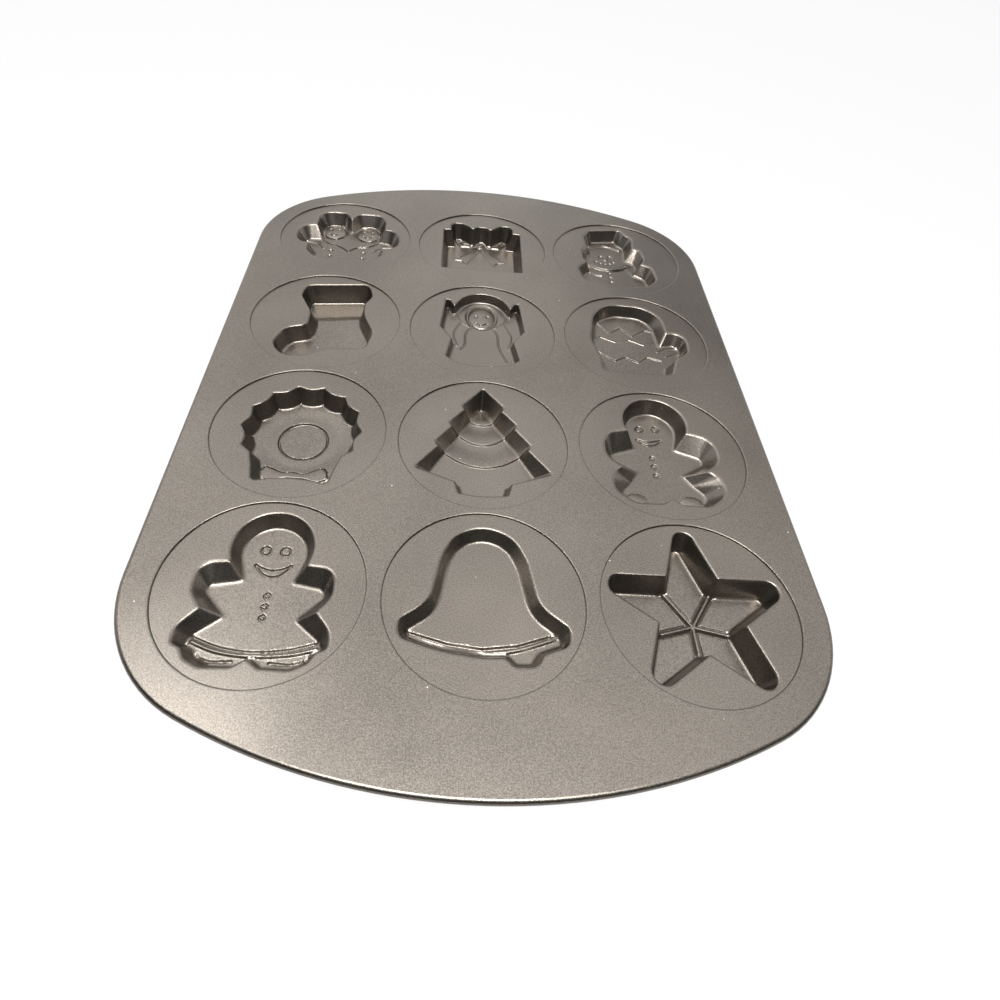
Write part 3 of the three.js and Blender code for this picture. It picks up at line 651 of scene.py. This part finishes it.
angel = {"outline": angelOutline(), "depth": 0.5, "draft": 0.2, "presses": [
    ("discs", [(-0.1, 19.2, 9.2, 11.8)], 1.6, 0.8), ("domes", [(-0.1, 18.6, 7.8, 9.8)], None, -1.6),
    ("line", [[(-15.6, 20.8), (-12.4, 14), (-7.6, 9.4)],
              [(15.8, 20.8), (12.6, 14), (7.6, 9.6)]], 1.2, -0.35),
    ("line", [[(-6.5, 8.4), (-9.1, 3.3), (-9.6, -6.0), (-11.7, -10.6)],
              [(6.9, 8.4), (8.9, 3.3), (9.9, -8.1), (14.1, -19.4)]], 1.3, 0.6),
    ("line", [[(-12.5, 12), (-16, 2), (-14, -8)], [(12.7, 12), (16.4, 2), (14.6, -9)]], 1.2, -0.4),
    ("discs", [(-3.4, 18.2, 1.0, 1.2), (3.3, 18.7, 1.0, 1.2)], 0.8, 0.5),
    ("line", [[(-3.4, 12.9), (-0.4, 11.0), (3.3, 12.9)]], 1.3, 0.6)]}

mitten = {"outline": mittenOutline(), "floor": mittenFloor(), "depth": 0.6, "presses": [
    ("zigzag", [[(-19.5, 25), (-17.1, 22.6), (-10.9, 14.4), (-4.2, 20.0), (2.0, 13.3),
                 (9.8, 19.0), (14, 18.5)]], 1.5, -0.7),
    ("zigzag", [[(-22, 7), (-17.1, 10.2), (-8.8, 6.1), (-0.6, 9.2), (7.7, 5.1),
                 (13.5, 7.6)]], 1.3, -0.4),
    ("zigzag", [[(-22, -3.2), (-18.1, -4.2), (-10.9, -9.9), (-4.7, -6.3), (2.0, -10.4),
                 (7.7, -5.3), (16.0, -7.8)]], 1.5, -0.7),
    ("line", [[(14.9, 0.4), (20.1, 3.0), (27.3, 4.0)],
              [(19, -3.4), (24, -1.6), (26.8, -0.6)]], 1.4, -0.7)]}

couple = {"outline": coupleOutline(), "floor": coupleFloor(), "depth": 0.7, "presses": [
    ("domes", [(-10.1, 18.2, 7.6, 7.8), (11.8, 17.4, 7.6, 7.8)], None, -1.3),
    ("rings", [(-10.1, 18.2, 8), (11.8, 17.4, 8)], 1.3, 0.6),
    ("discs", [(-12.8, 19.6, 1, 1.2), (-7.6, 19.8, 1, 1.2), (9.2, 18.8, 1, 1.2),
               (14.2, 18.8, 1, 1.2)], 0.8, 0.6),
    ("line", [[(-13.2, 15), (-10.2, 13), (-7.2, 15.2)],
              [(8.8, 14.2), (11.7, 12.4), (14.8, 14.4)]], 1.3, 0.6),
    ("line", [[(-17.5, 9), (-12, 4.5), (-5, 2), (1, -3)],
              [(18.5, 8), (13, 3.5), (6, 1.5), (1, -3)]], 1.8, -0.9),
    ("line", [[(-26, 5), (-19, 3.5), (-15, -1)], [(28, 4.5), (21, 3), (16.5, -1.5)]], 1.5, -0.7),
    ("line", [[(-17, -14), (-9, -17), (-1, -15)], [(3, -15), (10, -17), (17.5, -14)]], 1.6, -0.8),
    ("discs", [(-10, -3, 1.2, 1.2), (-10, -9, 1.2, 1.2), (10.5, -3.5, 1.2, 1.2),
               (10.5, -9.5, 1.2, 1.2)], 0.8, 0.7)]}

gift = {"outline": giftOutline(), "depth": 1, "draft": 0.25, "presses": [
    ("areas", [[(-1.5, 22.5), (-7, 26.5), (-14.5, 28), (-17.5, 23), (-13, 18.4), (-6, 18.8)],
               [(0.5, 22.5), (6, 26.5), (13.5, 28.5), (16.5, 23.4), (12, 18.4),
                (5, 18.8)]], 1.6, -1.0),
    ("loop", [[(-4, 22), (-9, 24.5), (-13.5, 24), (-13, 21.5), (-8, 20.6)],
              [(3, 22), (8, 24.7), (12.5, 24.4), (12, 21.6), (7, 20.7)]], 1.3, 0.9),
    ("discs", [(-0.6, 21, 2.4, 2.8)], 1.2, -1.4),
    ("areas", [[(-2.2, 18.5), (-9, 10), (-17, 2.5), (-12.5, 1.5), (-9.5, -2.5), (-1, 14)],
               [(1, 18.5), (8, 10), (15.5, 2.5), (11, 1.5), (8, -2.5), (0, 14)]], 1.2, -0.8)]}

snowman = {"outline": snowmanOutline(), "floor": snowmanFloor(), "depth": 0.68, "presses": [
    ("line", [[(-13.3, 24.1), (-2, 26.5), (7.5, 22.4)]], 1.8, -0.8),
    ("discs", [(-6.0, 13.5, 1.2, 1.5), (0.2, 14.0, 1.2, 1.5)], 0.9, 0.7),
    ("discs", [(-9.8, 7.4, 0.9, 1), (-7.2, 5.6, 0.9, 1), (-4, 5, 0.9, 1), (-0.9, 5.6, 0.9, 1),
               (1.8, 7.4, 0.9, 1)], 0.8, 0.6),
    ("discs", [(-3.4, 10.2, 1.2, 1.2)], 0.9, -0.8),
    ("bead", [[(-15.5, 2.6), (-9, -0.6), (-1, -1.4), (7, 1.2), (12, 5.2)]], (1.1, 0.8), -0.9),
    ("discs", [(-2.4, -5.6, 1.1, 1.1), (-2.4, -10.4, 1.1, 1.1), (-2.4, -15.2, 1.1, 1.1)], 0.9, 0.6),
    ("line", [[(8.5, 2.5), (11.5, -3), (13.7, -8)], [(-17, -4), (-12.2, -8), (-8, -9)]], 2.0, -0.8),
    ("line", [[(-17, -18), (-10, -22.5), (-2, -23.5), (8, -20.5)]], 1.6, -0.7)]}

cups = {
    "cup_star": star, "cup_bell": bell, "cup_gingerbread_girl": girl, "cup_gingerbread_man": man,
    "cup_tree": tree, "cup_wreath": wreath, "cup_stocking": stocking, "cup_angel": angel,
    "cup_mitten": mitten, "cup_couple": couple, "cup_gift": gift, "cup_snowman": snowman,
}
looks = [makeCup(node, settings) for node, settings in cups.items()]
print("pan: cups made", sum(len(p.data.polygons) for p in looks), "faces")


deck = {
    "width": 278.2,
    "length": 395.6,
    "crown": 248.0,       # radius of the bowed ends
    "corner": 59.0,
    "stepLean": 0.05,     # how far the step to a pad leans outwards
}

rim = {"radius": 1.8, "wall": 0.6, "points": 28, "smoothAngle": 40.0}


# The pan's outline moved inwards by an inset: a corner, a crowned end and a corner, twice
def panOutline(inset, cornerSteps=16, crownSteps=36):
    cornerX = deck["width"] / 2 - deck["corner"]
    crownY = deck["length"] / 2 - deck["crown"]
    between = deck["crown"] - deck["corner"]
    cornerY = crownY + math.sqrt(between ** 2 - cornerX ** 2)
    turn = math.atan2(cornerY - crownY, cornerX)
    points = []

    def addArc(x, y, radius, start, end, steps):
        for i in range(steps):
            a = start + (end - start) * i / steps
            points.append((x + radius * math.cos(a), y + radius * math.sin(a)))

    for half in (0, math.pi):
        side = 1 if half == 0 else -1
        small, large, last = deck["corner"] - inset, deck["crown"] - inset, half + math.pi
        addArc(side * cornerX, side * cornerY, small, half, half + turn, cornerSteps)
        addArc(0, side * crownY, large, half + turn, last - turn, crownSteps)
        addArc(-side * cornerX, side * cornerY, small, last - turn, last, cornerSteps)
        points.append((-side * (cornerX + small), side * cornerY))
    return np.array(points)


def makeDeck():
    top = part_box("deck")[1][2] / mm
    centres = [padCentre(node) for node in cups]
    edge = panOutline(rim["radius"])
    circle = np.array(circlePoints(1))
    foot = sheet["padRadius"]
    brink = foot + sheet["stepRound"]
    outer = brink + sheet["support"]
    holes = [circle * outer + c for c in centres]
    xy, flat = keepInside(triangulate([edge] + holes), edge, holes)
    points = [(x, y, top) for x, y in xy]
    faces = list(flat)
    # Round each pad, the deck bends down to it
    bend = rounding((brink, 0), (foot + deck["stepLean"], 0), (foot, -sheet["padStep"]), 5)
    profile = np.concatenate([[(outer, 0)], bend])
    n = len(circle)
    for c in centres:
        first = len(points)
        for radius, z in profile:
            points += [(x * radius + c[0], y * radius + c[1], top + z) for x, y in circle]
        for k in range(len(profile) - 1):
            for i in range(n):
                j = (i + 1) % n
                a, b = first + k * n, first + (k + 1) * n
                faces.append((a + i, a + j, b + j, b + i))
    piece = newPiece("look_deck", [(x * mm, y * mm, z * mm) for x, y, z in points], faces)
    thicken(piece, sheet["thickness"])
    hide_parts("deck")
    return piece


# The sheet's edge rolled under round the wire, its outer and its inner wall in one closed profile
def makeRim():
    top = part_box("rolled_rim")[1][2] / mm
    r = rim["radius"]
    profile = []
    for reach, start, end in ((r, 90, -180), (r - rim["wall"], -180, 90)):
        for a in np.linspace(start, end, rim["points"]):
            turn = math.radians(a)
            profile.append((r - reach * math.cos(turn), -r + reach * math.sin(turn)))
    points, faces = [], []
    loops = [panOutline(inset) for inset, z in profile]
    n = len(loops[0])
    for loop, (inset, z) in zip(loops, profile):
        points += [(x, y, top + z) for x, y in loop]
    for k in range(len(profile)):
        for i in range(n):
            j = (i + 1) % n
            a, b = k * n, (k + 1) % len(profile) * n
            faces.append((a + i, a + j, b + j, b + i)[::-1])
    piece = newPiece("look_rolled_rim", [(x * mm, y * mm, z * mm) for x, y, z in points], faces)
    onlyThis(piece)
    bpy.ops.object.shade_smooth_by_angle(angle=math.radians(rim["smoothAngle"]))
    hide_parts("rolled_rim")
    return piece


looks.append(makeDeck())
looks.append(makeRim())
print("pan: deck and rim made")


# A socket that takes sums: each operator adds a Math node
class Sock:
    def __init__(self, tree, socket):
        self.tree = tree
        self.socket = socket

    def value(self, other, operation, swap=False):
        node = self.tree.nodes.new("ShaderNodeMath")
        node.operation = operation
        first, second = (1, 0) if swap else (0, 1)
        self.tree.links.new(self.socket, node.inputs[first])
        if isinstance(other, Sock):
            self.tree.links.new(other.socket, node.inputs[second])
        else:
            node.inputs[second].default_value = other
        return Sock(self.tree, node.outputs[0])

    def __add__(self, other): return self.value(other, "ADD")
    def __radd__(self, other): return self.value(other, "ADD", True)
    def __sub__(self, other): return self.value(other, "SUBTRACT")
    def __rsub__(self, other): return self.value(other, "SUBTRACT", True)
    def __mul__(self, other): return self.value(other, "MULTIPLY")
    def __rmul__(self, other): return self.value(other, "MULTIPLY", True)

    # Any other node: its settings, its sockets' values or links, and the output wanted
    def node(self, kind, settings, links, output=0):
        node = self.tree.nodes.new(kind)
        for key, v in settings.items():
            if key == "stops":
                ramp = node.color_ramp
                while len(ramp.elements) < len(v):
                    ramp.elements.new(1)
                for element, (place, colour) in zip(ramp.elements, v):
                    element.position = place
                    element.color = colour
            else:
                setattr(node, key, v)
        for key, v in links.items():
            if isinstance(v, Sock):
                self.tree.links.new(v.socket, node.inputs[key])
            else:
                node.inputs[key].default_value = v
        return Sock(self.tree, node.outputs[output])


def newMaterial(name):
    material = bpy.data.materials.new(name)
    material.use_nodes = True
    tree = material.node_tree
    shader = tree.nodes["Principled BSDF"]
    place = tree.nodes.new("ShaderNodeTexCoord")
    return material, tree, shader, Sock(tree, place.outputs["Object"])


coating = {
    "dark": (0.131, 0.117, 0.102, 1),
    "light": (0.248, 0.221, 0.192, 1),
    "fleck": (0.85, 0.83, 0.80, 1),
    "metallic": 0.97,
    "roughness": 0.32,
    "grain": {"Scale": 2000.0, "Detail": 2.0, "Roughness": 0.6},
    "cloud": {"Scale": 14.0, "Detail": 3.0, "Roughness": 0.55},
    "grainShare": 0.75,
    "cloudShare": 0.25,
    "stops": (0.38, 0.62),
    "specks": 75.0,
    "speckSize": 0.021,
    "grainGloss": 0.12,   # how much grain and cloud change the roughness
    "cloudGloss": 0.10,
    "bump": 0.10,
    "bumpDepth": 0.0002,
}


def coatingMaterial():
    material, tree, shader, place = newMaterial("nonstick coating")
    grain = place.node("ShaderNodeTexNoise", {}, {"Vector": place, **coating["grain"]})
    cloud = place.node("ShaderNodeTexNoise", {}, {"Vector": place, **coating["cloud"]})
    mixed = grain * coating["grainShare"] + cloud * coating["cloudShare"]
    stops = list(zip(coating["stops"], (coating["dark"], coating["light"])))
    colour = mixed.node("ShaderNodeValToRGB", {"stops": stops}, {"Fac": mixed})
    # Fine pale specks of dust
    nearest = place.node("ShaderNodeTexVoronoi", {}, {"Vector": place, "Scale": coating["specks"]})
    speck = nearest.value(coating["speckSize"], "LESS_THAN")
    dusted = colour.node("ShaderNodeMixRGB", {},
                         {"Fac": speck, "Color1": colour, "Color2": coating["fleck"]})
    tree.links.new(dusted.socket, shader.inputs["Base Color"])
    gloss = (grain - 0.5) * coating["grainGloss"]
    rough = coating["roughness"] + gloss + (cloud - 0.5) * coating["cloudGloss"]
    tree.links.new(rough.socket, shader.inputs["Roughness"])
    shader.inputs["Metallic"].default_value = coating["metallic"]
    bump = grain.node("ShaderNodeBump", {}, {
        "Height": grain, "Strength": coating["bump"], "Distance": coating["bumpDepth"]})
    tree.links.new(bump.socket, shader.inputs["Normal"])
    return material


wire = {
    "dark": (0.42, 0.42, 0.43, 1),
    "light": (0.62, 0.62, 0.62, 1),
    "stops": (0.3, 0.7),
    "drawn": {"Scale": 900.0, "Detail": 3.0},
    "roughness": 0.35,
    "gloss": 0.15,
}


def wireMaterial():
    material, tree, shader, place = newMaterial("wire steel")
    drawn = place.node("ShaderNodeTexNoise", {}, {"Vector": place, **wire["drawn"]})
    stops = list(zip(wire["stops"], (wire["dark"], wire["light"])))
    colour = drawn.node("ShaderNodeValToRGB", {"stops": stops}, {"Fac": drawn})
    tree.links.new(colour.socket, shader.inputs["Base Color"])
    rough = wire["roughness"] + (drawn - 0.5) * wire["gloss"]
    tree.links.new(rough.socket, shader.inputs["Roughness"])
    shader.inputs["Metallic"].default_value = 1.0
    return material


coated = coatingMaterial()
for piece in looks:
    piece.data.materials.append(coated)
steel = wireMaterial()
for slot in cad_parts["rim_wire"].material_slots:
    slot.material = steel
print("pan: materials set")


stage = {
    "floorSize": 6.0,
    "floorColour": (0.9, 0.9, 0.9, 1),
    "glow": 0.92,               # share of plain white that the seen floor adds to its own colour
    "world": 0.04,              # light of the unlit room
    "roomEdge": (-0.15, 0.3),   # the metal sees the room up to here, and white from there on
    "furniture": [((0.37, 0.82, 0.43), 0.94, 0.7), ((-0.27, 0.8, 0.53), 0.95, 0.45)],
}


# Rays from the camera, straight or through clear things
def seenDirectly(tree, path):
    camera = Sock(tree, path.outputs["Is Camera Ray"])
    return camera + Sock(tree, path.outputs["Is Transmission Ray"])


def makeFloor():
    bpy.ops.object.select_all(action="DESELECT")
    bpy.ops.mesh.primitive_plane_add(size=stage["floorSize"], location=(0, 0, 0))
    floor = bpy.context.object
    floor.name = "studio_floor"
    material = bpy.data.materials.new("studio floor")
    material.use_nodes = True
    tree = material.node_tree
    tree.nodes.clear()
    out = tree.nodes.new("ShaderNodeOutputMaterial")
    mix = tree.nodes.new("ShaderNodeMixShader")
    paint = tree.nodes.new("ShaderNodeBsdfDiffuse")
    paint.inputs["Color"].default_value = stage["floorColour"]
    glow = tree.nodes.new("ShaderNodeEmission")
    glow.inputs["Color"].default_value = (1, 1, 1, 1)
    glow.inputs["Strength"].default_value = 1.0
    path = tree.nodes.new("ShaderNodeLightPath")
    share = (seenDirectly(tree, path) + Sock(tree, path.outputs["Is Glossy Ray"])) * stage["glow"]
    tree.links.new(share.socket, mix.inputs["Fac"])
    tree.links.new(paint.outputs[0], mix.inputs[1])
    tree.links.new(glow.outputs[0], mix.inputs[2])
    tree.links.new(mix.outputs[0], out.inputs["Surface"])
    floor.data.materials.append(material)


makeFloor()

# Places and sizes in metres, powers in watts
lamps = {
    "overhead": {"at": (0.0, -0.4, 1.05), "to": (0, 0, 0), "size": (0.7, 0.3), "power": 15.0},
    "skylight": {"at": (0.12, 0.4, 1.35), "to": (0, 0, 0), "size": (2.2, 0.9), "power": 3.5},
    "farSide": {"at": (-0.28, 1.4, 1.2), "to": (0, 0, 0), "size": (1.9, 1.2), "power": 3.2},
    "leftWindow": {"at": (-0.5, 0.0, 0.95), "to": (-0.09, -0.15, 0), "size": (0.3, 0.3),
                   "power": 3.0},
}
for name, lamp in lamps.items():
    data = bpy.data.lights.new(name, "AREA")
    data.shape = "RECTANGLE"
    data.size, data.size_y = lamp["size"]
    data.energy = lamp["power"]
    light = bpy.data.objects.new(name, data)
    light.location = lamp["at"]
    aim = Vector(lamp["to"]) - Vector(lamp["at"])
    light.rotation_euler = aim.to_track_quat("-Z", "Y").to_euler()
    bpy.context.scene.collection.objects.link(light)

world = bpy.data.worlds.new("studio")
bpy.context.scene.world = world
world.use_nodes = True
backdrop = world.node_tree.nodes["Background"]
backdrop.inputs["Color"].default_value = (1, 1, 1, 1)
path = world.node_tree.nodes.new("ShaderNodeLightPath")
# The metal shows the white backdrop at the far side, and the unlit room behind the camera
place = world.node_tree.nodes.new("ShaderNodeTexCoord")
heading = Sock(world.node_tree, place.outputs["Generated"])
away = heading.node("ShaderNodeSeparateXYZ", {}, {"Vector": heading}, 1)
roomEnd, whiteStart = stage["roomEdge"]
facing = away.node("ShaderNodeMapRange", {"interpolation_type": "SMOOTHSTEP"},
                   {"Value": away, "From Min": roomEnd, "From Max": whiteStart})
# Two dim pieces of furniture stand before the white: heading, size and darkness
for direction, reach, amount in stage["furniture"]:
    near = heading.node("ShaderNodeVectorMath", {"operation": "DOT_PRODUCT"},
                        {0: heading, 1: direction}, 1)
    dim = near.node("ShaderNodeMapRange", {"interpolation_type": "SMOOTHSTEP"},
                    {"Value": near, "From Min": reach, "From Max": 1.0})
    facing = facing * (1 - dim * amount)
glossy = Sock(world.node_tree, path.outputs["Is Glossy Ray"])
seen = seenDirectly(world.node_tree, path) + glossy * facing
strength = seen * (1 - stage["world"]) + stage["world"]
world.node_tree.links.new(strength.socket, backdrop.inputs["Strength"])

# The camera was fitted to the round pads in the photograph: millimetres from the pads' middle,
# and pixels of the photograph's frame
view = {
    "at": (-22.51, -239.14, 213.26),
    "right": (0.99696, 0.01381, 0.07666),
    "up": (-0.05763, 0.79294, 0.60657),
    "back": (-0.05241, -0.60915, 0.79132),
    "frame": 1000,
    "focal": 613.33,
    "centre": (465.0, 494.35),
    "sensor": 36,
    "clip": 0.01,
    "padsY": 0.85,    # the pads' middle lies this much beyond the pan's
}
camera = bpy.data.cameras.new("camera")
camera.sensor_fit = "HORIZONTAL"
camera.sensor_width = view["sensor"]
camera.lens = view["focal"] / view["frame"] * view["sensor"]
camera.shift_x = (view["frame"] / 2 - view["centre"][0]) / view["frame"]
camera.shift_y = (view["centre"][1] - view["frame"] / 2) / view["frame"]
camera.clip_start = view["clip"]
eye = bpy.data.objects.new("camera", camera)
turn = Matrix([view["right"], view["up"], view["back"]]).transposed().to_4x4()
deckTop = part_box("deck")[1][2]
x, y, z = view["at"]
spot = Vector((x * mm, (y + view["padsY"]) * mm, z * mm + deckTop))
eye.matrix_world = Matrix.Translation(spot) @ turn
bpy.context.scene.collection.objects.link(eye)
bpy.context.scene.camera = eye
bpy.context.scene.view_settings.view_transform = "Standard"
print("pan: stage, lights and camera set")
